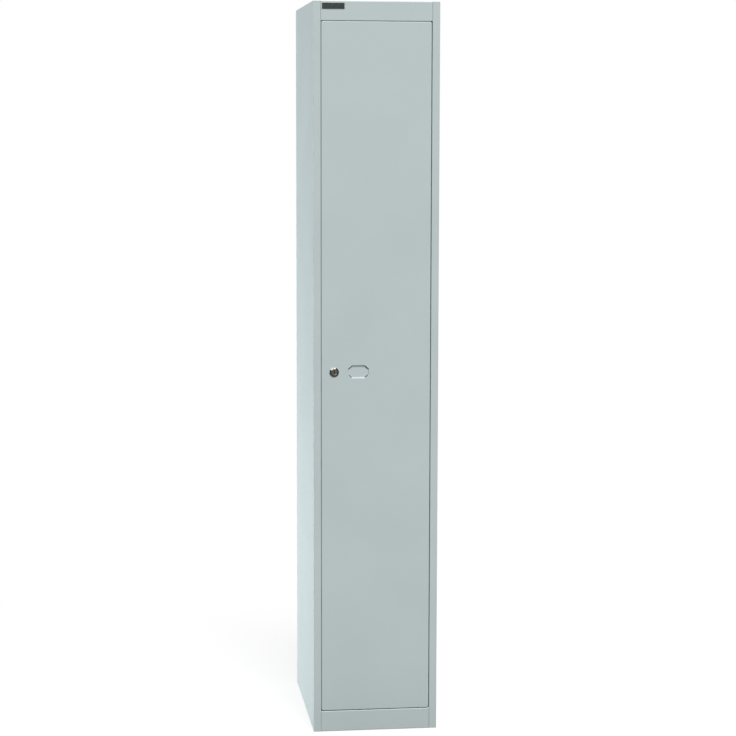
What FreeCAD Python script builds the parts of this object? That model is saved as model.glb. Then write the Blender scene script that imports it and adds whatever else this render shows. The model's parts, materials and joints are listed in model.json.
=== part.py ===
"""A tall single-door steel clothing locker, built as folded sheets and their fittings.

Millimetres. The origin is on the floor under the middle of the carcass. +X is to the right seen
from the front, +Y to the back and +Z up, so the front face of the carcass is at -Y.
"""
import FreeCAD, Part
import os
import re
import Sketcher

# Driving sizes, one cell of the sheet each
SIZES = {
    # Carcass sheets
    "overall_width": 305.0,
    "overall_depth": 457.0,
    "overall_height": 1778.0,
    "gauge": 0.9,
    "bend_radius": 0.8,
    "stile_width": 18.5,
    "rail_height": 46.4,
    "plinth_height": 51.0,
    "seam_gap": 0.6,
    "rail_seam": 0.3,
    "stop_depth": 23.0,
    "stop_lip": 12.0,
    "rear_flange": 15.0,
    "foot_flange": 15.0,
    "top_flange": 15.0,
    "floor_flange": 12.0,
    # Back panel
    "back_foot_gap": 1.0,
    "fixing_radius": 3.5,
    "fixing_spacing_across": 200.0,
    "fixing_foot": 139.0,
    "fixing_drop": 139.0,
    "vent_length": 60.0,
    "vent_width": 5.0,
    "vent_pitch": 14.0,
    "vent_count": 5,
    "vent_margin": 110.0,
    # Hat shelf and hooks
    "shelf_height": 1480.0,
    "shelf_setback": 20.0,
    "shelf_flange": 15.0,
    "hook_gauge": 2.5,
    "hook_width": 14.0,
    "hook_reach": 26.0,
    "hook_rise": 18.0,
    "hook_plate": 42.0,
    "hook_tip": 5.0,
    "hook_setback": 200.0,
    "side_hook_height": 1350.0,
    "double_hook_reach": 30.0,
    "double_hook_drop": 42.0,
    "double_hook_plate": 70.0,
    "rivet_radius": 2.0,
    "rivet_head_radius": 4.0,
    "rivet_head_height": 1.6,
    "rivet_crown_radius": 2.4,
    "rivet_shoulder": 0.6,
    "rivet_spacing": 50.0,
    # Door pan and its stiffener
    "door_gap": 1.5,
    "lock_gap": 0.9,
    "head_gap": 0.9,
    "door_depth": 18.0,
    "door_gauge": 1.0,
    "door_lip": 12.0,
    "door_corner": 4.5,
    "recess_inset": 90.1,
    "recess_width": 52.0,
    "recess_height": 32.0,
    "recess_flat_across": 31.0,
    "recess_flat_up": 14.0,
    "recess_depth": 2.8,
    "recess_slope": 45.0,
    "slot_length": 10.0,
    "slot_width": 1.8,
    "stiffener_inset": 110.5,
    "stiffener_crown": 30.0,
    "stiffener_flange": 12.0,
    "stiffener_depth": 13.0,
    "stiffener_margin": 25.0,
    # Hinge pivots
    "hinge_inset": 12.0,
    "hinge_setback": 6.6,
    "pin_radius": 2.5,
    "pin_reach": 6.0,
    "pin_nose": 1.0,
    "pin_head_radius": 4.0,
    "pin_head_height": 2.0,
    "pin_groove_depth": 0.5,
    "clip_radius": 4.5,
    "clip_thickness": 0.8,
    "bracket_gauge": 2.0,
    "bracket_height": 40.0,
    "bracket_ear": 24.0,
    "bush_radius": 4.0,
    "bush_reach": 5.0,
    "bush_flange_radius": 5.0,
    "bush_flange": 0.6,
    "thrust_clearance": 0.3,
    # Cam lock
    "lock_inset": 31.1,
    "lock_height": 892.5,
    "bezel_radius": 11.5,
    "bezel_proud": 3.5,
    "bezel_fall": 2.3,
    "bezel_flat": 0.6,
    "bezel_round": 0.3,
    "bezel_bevel": 0.8,
    "dimple_radius": 1.0,
    "dimple_reach": 9.6,
    "dimple_depth": 2.6,
    "barrel_radius": 9.5,
    "barrel_flats": 16.5,
    "plug_radius": 6.0,
    "plug_recess": 0.6,
    "keyway_width": 2.0,
    "keyway_height": 8.0,
    "keyway_depth": 12.0,
    "drive_size": 7.0,
    "cam_clearance": 0.5,
    "cam_end_gap": 0.3,
    "cam_thickness": 2.5,
    "cam_length": 34.0,
    "cam_width": 16.0,
    "cam_tip": 4.0,
    "bolt_radius": 2.0,
    "bolt_length": 8.0,
    "bolt_head_radius": 5.0,
    "bolt_head_height": 3.0,
    "bolt_chamfer": 1.0,
    "doubler_width": 48.0,
    "doubler_height": 60.0,
    "doubler_gauge": 1.5,
    "lock_washer_gauge": 1.0,
    "lock_washer_radius": 13.0,
    "nut_across": 24.0,
    "nut_height": 4.0,
    # Door buffers and the blank badge
    "buffer_radius": 4.5,
    "buffer_crown_radius": 3.6,
    "buffer_round": 1.4,
    "buffer_clearance": 0.3,
    "buffer_inset": 6.5,
    "buffer_stem": 2.5,
    "buffer_bulb": 3.3,
    "buffer_bulb_length": 2.5,
    "buffer_margin": 100.0,
    "buffer_over_lock": 120.0,
    "badge_width": 54.0,
    "badge_height": 14.0,
    "badge_gauge": 1.0,
    "badge_inset": 2.5,
    "badge_drop": 4.5,
    "badge_corner": 1.5,
    # Clearances
    "fit_clearance": 0.1,
    "running_clearance": 0.05,
}

# Places and sizes that follow from the driving ones
DERIVED = {
    "half_width": "overall_width / 2",
    "inner_half": "half_width - gauge",
    "front": "-overall_depth / 2",
    "back": "overall_depth / 2",
    "back_inside": "back - 2 * gauge",
    "outer_bend": "bend_radius + gauge",
    "relief": "outer_bend + seam_gap",
    "jamb": "half_width - stile_width",
    "stop_front": "front + stop_depth",
    "stop_back": "stop_front + gauge",
    "lip_edge": "jamb - stop_lip",
    "rail_half": "jamb - rail_seam",
    "rail_lip_half": "lip_edge - seam_gap",
    "rail_bottom": "overall_height - rail_height",
    "roof_start": "front + outer_bend + 2 * seam_gap",
    "roof_end": "back_inside - relief",
    "foot_start": "stop_back + 2 * relief",
    "foot_end": "back_inside - 2 * relief",
    "floor_top": "plinth_height + stop_lip",
    "back_half": "inner_half - bend_radius - fit_clearance",
    "hook_y": "front + hook_setback",
    "shelf_under": "shelf_height - gauge",
    "door_left": "lock_gap - jamb",
    "door_right": "jamb - door_gap",
    "door_bottom": "plinth_height + door_gap",
    "door_top": "rail_bottom - head_gap",
    "door_back": "front + door_depth",
    "door_inside": "front + door_gauge",
    "door_bend": "bend_radius + door_gauge",
    "pan_left": "door_left + door_gauge",
    "pan_right": "door_right - door_gauge",
    "pan_bottom": "door_bottom + door_gauge",
    "pan_top": "door_top - door_gauge",
    "recess_x": "door_left + recess_inset",
    "recess_wall": "recess_depth * tan(recess_slope)",
    "corner_run": "(recess_width - recess_flat_across) / 2",
    "corner_rise": "(recess_height - recess_flat_up) / 2",
    "corner_length": "sqrt(corner_run ^ 2 + corner_rise ^ 2)",
    "stiffener_x": "door_right - stiffener_inset",
    "hinge_x": "door_right - hinge_inset",
    "hinge_y": "front + hinge_setback",
    "bracket_start": "door_inside + bend_radius + seam_gap",
    "bracket_width": "door_depth - 2 * (door_gauge + bend_radius + seam_gap)",
    "bracket_bend": "max(bend_radius; door_corner - door_gauge - bracket_gauge + fit_clearance)",
    "pin_groove_radius": "pin_radius - pin_groove_depth",
    "lock_x": "door_left + lock_inset",
    "barrel_length": "stop_depth + gauge + cam_clearance - cam_end_gap",
    "cam_start": "barrel_length + cam_end_gap",
    "cam_end": "cam_start + cam_thickness",
}

# The planes in the order of the axes that they are square to
PLANES = ["YZ_Plane", "XZ_Plane", "XY_Plane"]
# The signs of the four corners of an outline, in order round it
CORNER_SIGNS = [(1, 1), (-1, 1), (-1, -1), (1, -1)]
TOUCH = 0.001
FULL_TURN = 360.0

doc = FreeCAD.newDocument("clothing_locker")
sheet = doc.addObject("Spreadsheet::Sheet", "sizes")
for row, (alias, number) in enumerate(SIZES.items(), start=1):
    sheet.set(f"A{row}", alias)
    sheet.set(f"B{row}", str(number))
    sheet.setAlias(f"B{row}", alias)
doc.recompute()


def live(words):
    """The words as an expression, in which each named size points at its cell of the sheet."""

    def resolve(match):
        name = match.group(0)
        if name in DERIVED:
            return f"({live(DERIVED[name])})"
        if name in SIZES:
            return f"sizes.{name}"
        return name

    return re.sub(r"[a-z]\w*", resolve, words)


def size(words):
    """The present value of the words, in millimetres."""
    return float(sheet.evalExpression(live(words)))


def bind(item, prop, words):
    item.setExpression(prop, live(words))


# Sketch outlines: each of these gives a function that draws the outline into a sketch


def hold(sketch, geometry, point, across, up):
    """Fix a point of the sketch by its two distances from the sketch's origin."""
    for kind, words in (("DistanceX", across), ("DistanceY", up)):
        held = Sketcher.Constraint(kind, -1, 1, geometry, point, size(words))
        index = sketch.addConstraint(held)
        bind(sketch, f"Constraints[{index}]", words)


def polygon(corners):
    def draw(sketch):
        spots = [FreeCAD.Vector(size(across), size(up), 0) for across, up in corners]
        first = sketch.GeometryCount
        count = len(spots)
        for i in range(count):
            sketch.addGeometry(Part.LineSegment(spots[i], spots[(i + 1) % count]))
        for i in range(count):
            after = first + (i + 1) % count
            sketch.addConstraint(Sketcher.Constraint("Coincident", first + i, 2, after, 1))
        for i, (across, up) in enumerate(corners):
            hold(sketch, first + i, 1, across, up)

    return draw


def rectangle(left, right, low, high):
    return polygon([(left, low), (right, low), (right, high), (left, high)])


def disc(across, up, radius):
    def draw(sketch):
        middle = FreeCAD.Vector(size(across), size(up), 0)
        axis = FreeCAD.Vector(0, 0, 1)
        circle = sketch.addGeometry(Part.Circle(middle, axis, size(radius)))
        hold(sketch, circle, 3, across, up)
        index = sketch.addConstraint(Sketcher.Constraint("Radius", circle, size(radius)))
        bind(sketch, f"Constraints[{index}]", radius)

    return draw


def flatted_disc(across, up, radius, flats):
    """A disc with two upright flats, as a lock barrel's section."""

    def draw(sketch):
        middle = FreeCAD.Vector(size(across), size(up), 0)
        half = size(flats) / 2
        rise = (size(radius) ** 2 - half**2) ** 0.5
        right_top = middle + FreeCAD.Vector(half, rise, 0)
        left_top = middle + FreeCAD.Vector(-half, rise, 0)
        right_low = middle + FreeCAD.Vector(half, -rise, 0)
        left_low = middle + FreeCAD.Vector(-half, -rise, 0)
        crown = middle + FreeCAD.Vector(0, size(radius), 0)
        trough = middle - FreeCAD.Vector(0, size(radius), 0)
        upper = sketch.addGeometry(Part.Arc(right_top, crown, left_top))
        left = sketch.addGeometry(Part.LineSegment(left_top, left_low))
        lower = sketch.addGeometry(Part.Arc(left_low, trough, right_low))
        right = sketch.addGeometry(Part.LineSegment(right_low, right_top))
        loop = [upper, left, lower, right]
        for i, piece in enumerate(loop):
            after = loop[(i + 1) % len(loop)]
            sketch.addConstraint(Sketcher.Constraint("Coincident", piece, 2, after, 1))
        hold(sketch, upper, 3, across, up)
        sketch.addConstraint(Sketcher.Constraint("Coincident", upper, 3, lower, 3))
        sketch.addConstraint(Sketcher.Constraint("Equal", upper, lower))
        index = sketch.addConstraint(Sketcher.Constraint("Radius", upper, size(radius)))
        bind(sketch, f"Constraints[{index}]", radius)
        for line, sign in ((left, "-"), (right, "+")):
            sketch.addConstraint(Sketcher.Constraint("Vertical", line))
            words = f"{across} {sign} ({flats}) / 2"
            held = Sketcher.Constraint("DistanceX", -1, 1, line, 1, size(words))
            index = sketch.addConstraint(held)
            bind(sketch, f"Constraints[{index}]", words)

    return draw


# Solid features


def facing(plane):
    """The sign of the way that one of a body's own planes faces along its axis."""
    return -1 if plane == "XZ_Plane" else 1


def new_body(name, place=("0", "0", "0")):
    body = doc.addObject("PartDesign::Body", name)
    body.Label = name
    for letter, words in zip("xyz", place):
        bind(body, f"Placement.Base.{letter}", words)
    return body


def sketch_on(body, name, plane, start, outlines):
    """A sketch on one of the body's own planes, moved along that plane's axis to start."""
    sketch = body.newObject("Sketcher::SketchObject", f"{name}_sketch")
    support = next(item for item in body.Origin.OriginFeatures if item.Role == plane)
    sketch.AttachmentSupport = [(support, "")]
    sketch.MapMode = "FlatFace"
    bind(sketch, "AttachmentOffset.Base.z", f"{facing(plane)} * ({start})")
    for draw in outlines:
        draw(sketch)
    return sketch


def settle(body, name, volume_before):
    """Recompute, and refuse a feature that failed or changed nothing."""
    doc.recompute()
    shape = body.Tip.Shape
    if shape.isNull() or abs(shape.Volume - volume_before) < TOUCH:
        raise RuntimeError(f"{body.Label}: {name} changes nothing")


def volume_of(body):
    return body.Tip.Shape.Volume if body.Tip else 0.0


def pad(body, name, plane, start, depth, outlines, toward=1, both=False, taper=None):
    """Material from start along the plane's axis, towards its + or - end or both ways."""
    before = volume_of(body)
    sketch = sketch_on(body, name, plane, start, outlines)
    feature = body.newObject("PartDesign::Pad", name)
    feature.Profile = sketch
    feature.Reversed = toward != facing(plane)
    feature.SideType = "Symmetric" if both else "One side"
    bind(feature, "Length", depth)
    if taper:
        bind(feature, "TaperAngle", taper)
    settle(body, name, before)
    return feature


def pocket(body, name, plane, start, depth, outlines, toward=1, taper=None):
    """A cut from start along the plane's axis, towards its + or - end."""
    before = volume_of(body)
    sketch = sketch_on(body, name, plane, start, outlines)
    feature = body.newObject("PartDesign::Pocket", name)
    feature.Profile = sketch
    feature.Reversed = toward == facing(plane)
    bind(feature, "Length", depth)
    if taper:
        bind(feature, "TaperAngle", taper)
    settle(body, name, before)
    return feature


def turned(name, plane, corners, place):
    """A body of revolution about the plane's upright axis, from (radius, height) corners."""
    body = new_body(name, place)
    sketch = sketch_on(body, name, plane, "0", [polygon(corners)])
    feature = body.newObject("PartDesign::Revolution", f"{name}_turning")
    feature.Profile = sketch
    feature.ReferenceAxis = (sketch, ["V_Axis"])
    feature.Angle = FULL_TURN
    settle(body, name, 0.0)
    return body


def edges_along(body, axis, spots, span=None):
    """Names of the straight edges along an axis at any of the spots, within a span of that axis."""
    across = [k for k in range(3) if k != axis]
    wanted = [[size(words) for words in spot] for spot in spots]
    low, high = [size(words) for words in span] if span else (-float("inf"), float("inf"))
    names = []
    for number, edge in enumerate(body.Tip.Shape.Edges, start=1):
        ends = [vertex.Point for vertex in edge.Vertexes]
        if any(end[axis] < low - TOUCH or end[axis] > high + TOUCH for end in ends):
            continue
        for spot in wanted:
            if all(abs(end[k] - at) < TOUCH for end in ends for k, at in zip(across, spot)):
                names.append(f"Edge{number}")
    return names


def edges_in_plane(body, axis, height, reach=None):
    """Names of the edges that lie in a plane, and beyond reach of the middle where it is given."""
    names = []
    for number, edge in enumerate(body.Tip.Shape.Edges, start=1):
        box = edge.BoundBox
        low = (box.XMin, box.YMin, box.ZMin)[axis]
        high = (box.XMax, box.YMax, box.ZMax)[axis]
        if abs(low - size(height)) > TOUCH or abs(high - size(height)) > TOUCH:
            continue
        if reach and not reach(edge):
            continue
        names.append(f"Edge{number}")
    return names


def round_off(body, name, edges, radius):
    before = volume_of(body)
    base = body.Tip
    feature = body.newObject("PartDesign::Fillet", name)
    feature.Base = (base, edges)
    bind(feature, "Radius", radius)
    settle(body, name, before)
    return feature


def folded(body, name, plane, start, length, path, side, gauge="gauge", bend="bend_radius", both=False):
    """A sheet folded along a path of square runs, its bends rounded inside and out.

    side is 1 where the sheet's thickness lies to the left of the path and -1 to the right.
    """
    spots = [(size(across), size(up)) for across, up in path]
    runs = []
    for (x0, y0), (x1, y1) in zip(spots, spots[1:]):
        reach = abs(x1 - x0) + abs(y1 - y0)
        runs.append((round((x1 - x0) / reach), round((y1 - y0) / reach)))
    normals = [(-side * up, side * across) for across, up in runs]
    far = []
    for i, (across, up) in enumerate(path):
        beside = normals[max(i - 1, 0) : i + 1]
        step_across = sum(normal[0] for normal in beside)
        step_up = sum(normal[1] for normal in beside)
        far.append((f"{across} + {step_across} * {gauge}", f"{up} + {step_up} * {gauge}"))
    pad(body, name, plane, start, length, [polygon(path + far[::-1])], both=both)
    outer, inner = [], []
    for i in range(1, len(path) - 1):
        turn = runs[i - 1][0] * runs[i][1] - runs[i - 1][1] * runs[i][0]
        path_outside = turn * side > 0
        outer.append(path[i] if path_outside else far[i])
        inner.append(far[i] if path_outside else path[i])
    axis = PLANES.index(plane)
    round_off(body, f"{name}_outer_bends", edges_along(body, axis, outer), f"{bend} + {gauge}")
    round_off(body, f"{name}_inner_bends", edges_along(body, axis, inner), bend)


def group(name, members):
    """Several equal pieces under one name, as separate solids."""
    compound = doc.addObject("Part::Compound", name)
    compound.Label = name
    compound.Links = members
    return compound


# Carcass


def side_panel(name, hand):
    """Wall with the front stile, its return and the door stop folded on, and a foot flange."""
    body = new_body(name)
    wall = f"{hand} * half_width"
    inner = f"{hand} * inner_half"
    jamb = f"{hand} * jamb"
    path = [
        (f"{hand} * (half_width - rear_flange)", "back"),
        (wall, "back"),
        (wall, "front"),
        (jamb, "front"),
        (jamb, "stop_front"),
        (f"{hand} * lip_edge", "stop_front"),
    ]
    folded(body, "wall", "XY_Plane", "0", "overall_height", path, side=-hand)
    slits = [
        rectangle(wall, inner, "foot_start - relief", "foot_start"),
        rectangle(wall, inner, "foot_end", "foot_end + relief"),
    ]
    pocket(body, "foot_reliefs", "XY_Plane", "0", "relief", slits)
    flange = rectangle(inner, f"{hand} * (half_width - foot_flange)", "foot_start", "foot_end")
    pad(body, "foot", "XY_Plane", "0", "gauge", [flange])
    span = ("foot_start", "foot_end")
    round_off(body, "foot_outer_bend", edges_along(body, 1, [(wall, "0")], span), "outer_bend")
    round_off(body, "foot_inner_bend", edges_along(body, 1, [(inner, "gauge")], span), "bend_radius")
    # The return and the stop end under the roof sheet
    under_roof = rectangle(
        f"{hand} * (jamb + relief)",
        f"{hand} * (lip_edge - seam_gap)",
        "front + relief",
        "stop_back + seam_gap",
    )
    trim = "gauge + seam_gap"
    pocket(body, "roof_trim", "XY_Plane", f"overall_height - ({trim})", trim, [under_roof])
    return body


def buffer_heights():
    return [
        "door_bottom + buffer_margin",
        "lock_height + buffer_over_lock",
        "door_top - buffer_margin",
    ]


def left_side_panel():
    body = side_panel("left_side_panel", -1)
    radius = "buffer_stem + fit_clearance"
    holes = [disc("buffer_inset - jamb", height, radius) for height in buffer_heights()]
    pocket(body, "buffer_holes", "XZ_Plane", "stop_front", "gauge", holes)
    return body


def right_side_panel():
    return side_panel("right_side_panel", 1)


def back_panel():
    """Flat sheet inside the rear flanges, with wall fixing holes and two banks of vent slots."""
    body = new_body("back_panel")
    outline = rectangle("-back_half", "back_half", "back_foot_gap", "overall_height")
    pad(body, "back_sheet", "XZ_Plane", "back_inside", "gauge", [outline])
    holes = []
    for hand in (-1, 1):
        for height in ("fixing_foot", "overall_height - fixing_drop"):
            holes.append(disc(f"{hand} * fixing_spacing_across / 2", height, "fixing_radius"))
    pocket(body, "fixing_holes", "XZ_Plane", "back_inside", "gauge", holes)
    banks = {
        "low_vents": "floor_top + vent_margin",
        "high_vents": "overall_height - vent_margin - vent_pitch * (vent_count - 1)",
    }
    for name, first in banks.items():
        vent_bank(body, name, first)
    return body


def vent_bank(body, name, first):
    """A column of level slots, from the first one up."""
    low, high = f"{first} - vent_width / 2", f"{first} + vent_width / 2"
    slot = rectangle("-vent_length / 2", "vent_length / 2", low, high)
    cut = pocket(body, name, "XZ_Plane", "back_inside", "gauge", [slot])
    before = volume_of(body)
    column = body.newObject("PartDesign::LinearPattern", f"{name}_column")
    column.Originals = [cut]
    column.Direction = (cut.Profile[0], ["V_Axis"])
    bind(column, "Length", "vent_pitch * (vent_count - 1)")
    bind(column, "Occurrences", "vent_count")
    body.Tip = column
    settle(body, name, before)


def top_panel():
    """Roof sheet with the top rail folded down in front, and ears over the stiles."""
    body = new_body("top_panel")
    path = [
        ("back_inside", "overall_height - top_flange"),
        ("back_inside", "overall_height"),
        ("front", "overall_height"),
        ("front", "rail_bottom"),
        ("stop_front", "rail_bottom"),
        ("stop_front", "rail_bottom - stop_lip"),
    ]
    folded(body, "roof", "YZ_Plane", "0", "2 * rail_half", path, side=1, both=True)
    for word, hand in (("left", -1), ("right", 1)):
        ear = [
            (f"{hand} * rail_half", "overall_height"),
            (f"{hand} * inner_half", "overall_height"),
            (f"{hand} * inner_half", "overall_height - top_flange"),
        ]
        length = "roof_end - roof_start"
        folded(body, f"{word}_ear", "XZ_Plane", "roof_start", length, ear, side=-hand)
    start = "rail_bottom - stop_lip"
    pocket(body, "stop_ends", "XY_Plane", start, "stop_lip + relief", stop_ends())
    bore = disc("hinge_x", "hinge_y", "bush_radius + fit_clearance")
    pocket(body, "bush_hole", "XY_Plane", "rail_bottom", "gauge", [bore])
    return body


def stop_ends():
    """Plan of the cuts that let a rail's stop lip end between the stiles' lips."""
    return [
        rectangle(
            f"{hand} * rail_lip_half",
            f"{hand} * (rail_half + seam_gap)",
            "stop_front - bend_radius - seam_gap",
            "stop_back + seam_gap",
        )
        for hand in (-1, 1)
    ]


def plinth():
    """Kick plate with a foot flange, a ledge under the door and a stop lip."""
    body = new_body("plinth")
    path = [
        ("front + foot_flange", "0"),
        ("front", "0"),
        ("front", "plinth_height"),
        ("stop_front", "plinth_height"),
        ("stop_front", "floor_top"),
    ]
    folded(body, "kick_plate", "YZ_Plane", "0", "2 * rail_half", path, side=-1, both=True)
    pocket(body, "stop_ends", "XY_Plane", "floor_top", "stop_lip + relief", stop_ends(), toward=-1)
    bore = disc("hinge_x", "hinge_y", "bush_radius + fit_clearance")
    pocket(body, "bush_hole", "XY_Plane", "plinth_height", "gauge", [bore], toward=-1)
    return body


def tray(name, near, top, flange):
    """Level sheet between the walls with all four edges folded down and the corners relieved."""
    body = new_body(name)
    bottom = f"{top} - {flange}"
    whole = rectangle("-inner_half", "inner_half", near, "back_inside")
    pad(body, "block", "XY_Plane", bottom, flange, [whole])
    corners = []
    for hand in (-1, 1):
        edge, short = f"{hand} * inner_half", f"{hand} * (inner_half - relief)"
        corners.append(rectangle(edge, short, near, f"{near} + relief"))
        corners.append(rectangle(edge, short, "back_inside - relief", "back_inside"))
    pocket(body, "corner_reliefs", "XY_Plane", bottom, flange, corners)
    hollow = rectangle("gauge - inner_half", "inner_half - gauge", f"{near} + gauge", "back_inside - gauge")
    pocket(body, "hollow", "XY_Plane", bottom, f"{flange} - gauge", [hollow])
    outer = edges_along(body, 0, [(near, top), ("back_inside", top)])
    outer += edges_along(body, 1, [("-inner_half", top), ("inner_half", top)])
    round_off(body, "outer_bends", outer, "outer_bend")
    under = f"{top} - gauge"
    inner = edges_along(body, 0, [(f"{near} + gauge", under), ("back_inside - gauge", under)])
    inner += edges_along(body, 1, [("gauge - inner_half", under), ("inner_half - gauge", under)])
    round_off(body, "inner_bends", inner, "bend_radius")
    return body


def floor_panel():
    return tray("floor_panel", "stop_back", "floor_top", "floor_flange")


def rivet_places():
    return [f"{hand} * rivet_spacing / 2" for hand in (-1, 1)]


def rivet_holes():
    return [disc(across, "hook_y", "rivet_radius + fit_clearance") for across in rivet_places()]


def hat_shelf():
    body = tray("hat_shelf", "stop_back + shelf_setback", "shelf_height", "shelf_flange")
    pocket(body, "rivet_holes", "XY_Plane", "shelf_under", "gauge", rivet_holes())
    return body


# Hooks


def round_tips(body, height):
    corners = [("hook_y - hook_width / 2", height), ("hook_y + hook_width / 2", height)]
    round_off(body, "tips", edges_along(body, 0, corners), "hook_tip")


def side_hook(name, hand):
    """Strip bent from a plate on the wall into an upturned arm."""
    body = new_body(name)
    wall = f"{hand} * inner_half"
    tip = f"{hand} * (inner_half - hook_reach)"
    path = [
        (wall, "side_hook_height + hook_plate"),
        (wall, "side_hook_height"),
        (tip, "side_hook_height"),
        (tip, "side_hook_height + hook_rise"),
    ]
    side = -hand
    folded(body, "strip", "XZ_Plane", "hook_y", "hook_width", path, side, "hook_gauge", both=True)
    round_tips(body, "side_hook_height + hook_rise")
    return body


def left_coat_hook():
    return side_hook("left_coat_hook", -1)


def right_coat_hook():
    return side_hook("right_coat_hook", 1)


def double_coat_hook():
    """Two upturned arms on a stem below a plate that is riveted under the shelf."""
    body = new_body("double_coat_hook")
    low = "shelf_under - double_hook_drop"
    path = [
        ("-double_hook_reach", f"{low} + hook_rise"),
        ("-double_hook_reach", low),
        ("double_hook_reach", low),
        ("double_hook_reach", f"{low} + hook_rise"),
    ]
    folded(body, "arms", "XZ_Plane", "hook_y", "hook_width", path, 1, "hook_gauge", both=True)
    round_tips(body, f"{low} + hook_rise")
    stem = rectangle("-hook_gauge / 2", "hook_gauge / 2", f"{low} + hook_gauge", "shelf_under")
    pad(body, "stem", "XZ_Plane", "hook_y", "hook_width", [stem], both=True)
    half = "double_hook_plate / 2"
    plate = rectangle(f"-{half}", half, "shelf_under - hook_gauge", "shelf_under")
    pad(body, "plate", "XZ_Plane", "hook_y", "hook_width", [plate], both=True)
    start = "shelf_under - hook_gauge"
    pocket(body, "rivet_holes", "XY_Plane", start, "hook_gauge", rivet_holes())
    return body


def hook_rivets():
    """Domed rivets through the shelf sheet and the hook plate."""
    under = "-(gauge + hook_gauge)"
    profile = [
        ("0", f"{under} - rivet_head_height"),
        ("rivet_crown_radius", f"{under} - rivet_head_height"),
        ("rivet_head_radius", f"{under} - rivet_shoulder"),
        ("rivet_head_radius", under),
        ("rivet_radius", under),
        ("rivet_radius", "0"),
        ("rivet_head_radius", "0"),
        ("rivet_head_radius", "rivet_shoulder"),
        ("rivet_crown_radius", "rivet_head_height"),
        ("0", "rivet_head_height"),
    ]
    members = []
    for across in rivet_places():
        place = (across, "hook_y", "shelf_height")
        members.append(turned("hook_rivet", "XZ_Plane", profile, place))
    return group("hook_rivets", members)


# Door


def door_skin():
    """Pan with four returns and rear lips, a pressed label recess, its card slots and the lock hole."""
    body = new_body("door_skin")
    face = rectangle("door_left", "door_right", "door_bottom", "door_top")
    pad(body, "block", "XZ_Plane", "front", "door_depth", [face])
    opening = rectangle(
        "door_left + door_lip", "door_right - door_lip", "door_bottom + door_lip", "door_top - door_lip"
    )
    pocket(body, "opening", "XZ_Plane", "door_inside", "door_depth - door_gauge", [opening])
    hollow = rectangle("pan_left", "pan_right", "pan_bottom", "pan_top")
    pocket(body, "hollow", "XZ_Plane", "door_inside", "door_depth - 2 * door_gauge", [hollow])
    inner = [(across, up) for across in ("pan_left", "pan_right") for up in ("pan_bottom", "pan_top")]
    round_off(body, "inner_corners", edges_along(body, 1, inner), "door_corner - door_gauge")
    outer = [(across, up) for across in ("door_left", "door_right") for up in ("door_bottom", "door_top")]
    round_off(body, "outer_corners", edges_along(body, 1, outer), "door_corner")
    rims = edges_in_plane(body, 1, "front") + edges_in_plane(body, 1, "door_back", outside_opening)
    round_off(body, "outer_bends", rims, "door_bend")
    rims = edges_in_plane(body, 1, "door_inside")
    rims += edges_in_plane(body, 1, "door_back - door_gauge", outside_opening)
    round_off(body, "inner_bends", rims, "bend_radius")
    pad(body, "recess_back", "XZ_Plane", "door_inside", "recess_depth", [recess()], taper="-recess_slope")
    pocket(body, "recess", "XZ_Plane", "front", "recess_depth", [recess()], taper="-recess_slope")
    pocket(body, "card_slots", "XZ_Plane", "front", "recess_depth + door_gauge", card_slots())
    pocket(body, "lock_hole", "XZ_Plane", "front", "door_gauge", [lock_hole("lock_x", "lock_height")])
    pin_hole = disc("hinge_x", "hinge_y", "pin_radius + fit_clearance")
    pocket(body, "upper_pin_hole", "XY_Plane", "pan_top", "door_gauge", [pin_hole])
    pocket(body, "lower_pin_hole", "XY_Plane", "door_bottom", "door_gauge", [pin_hole])
    return body


def outside_opening(edge):
    """Whether an edge of the pan lies outside the opening between its rear lips."""
    spot = edge.CenterOfMass
    centre = size("(door_left + door_right) / 2")
    beside = abs(spot.x - centre) > size("door_right - door_lip") - centre + TOUCH
    middle = size("(door_top + door_bottom) / 2")
    return beside or abs(spot.z - middle) > size("door_top - door_lip") - middle + TOUCH


def recess():
    """Eight-sided outline of the label recess on the door's face."""
    corners = []
    for across, up in CORNER_SIGNS:
        on_side = (
            f"recess_x + {across} * recess_width / 2",
            f"lock_height + {up} * recess_flat_up / 2",
        )
        on_end = (
            f"recess_x + {across} * recess_flat_across / 2",
            f"lock_height + {up} * recess_height / 2",
        )
        corners += [on_side, on_end] if across * up > 0 else [on_end, on_side]
    return polygon(corners)


def card_slots():
    """Outlines of the slots in the recess's four corner walls, which take the corners of a card."""
    slots = []
    for across, up in CORNER_SIGNS:
        outline = []
        for end, edge in CORNER_SIGNS:
            along = f"{end} * slot_length / 2"
            inward = f"(recess_wall + {edge} * slot_width) / 2"
            shift_across = f"(({along}) * corner_run - ({inward}) * corner_rise) / corner_length"
            shift_up = f"(({along}) * corner_rise + ({inward}) * corner_run) / corner_length"
            outline.append(
                (
                    f"recess_x + {across} * ((recess_width + recess_flat_across) / 4 + {shift_across})",
                    f"lock_height + {up} * ((recess_height + recess_flat_up) / 4 - {shift_up})",
                )
            )
        slots.append(polygon(outline))
    return slots


def lock_hole(across, up):
    slack = "2 * fit_clearance"
    return flatted_disc(across, up, "barrel_radius + fit_clearance", f"barrel_flats + {slack}")


def door_stiffener():
    """Top-hat channel that runs up the back of the door's face."""
    body = new_body("door_stiffener")
    left, right = "stiffener_x - stiffener_crown / 2", "stiffener_x + stiffener_crown / 2"
    crown = "door_inside + stiffener_depth"
    path = [
        (f"{left} - stiffener_flange", "door_inside"),
        (left, "door_inside"),
        (left, crown),
        (right, crown),
        (right, "door_inside"),
        (f"{right} + stiffener_flange", "door_inside"),
    ]
    length = "door_top - door_bottom - 2 * stiffener_margin"
    folded(body, "hat", "XY_Plane", "door_bottom + stiffener_margin", length, path, side=1)
    return body


# Hinges


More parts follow.
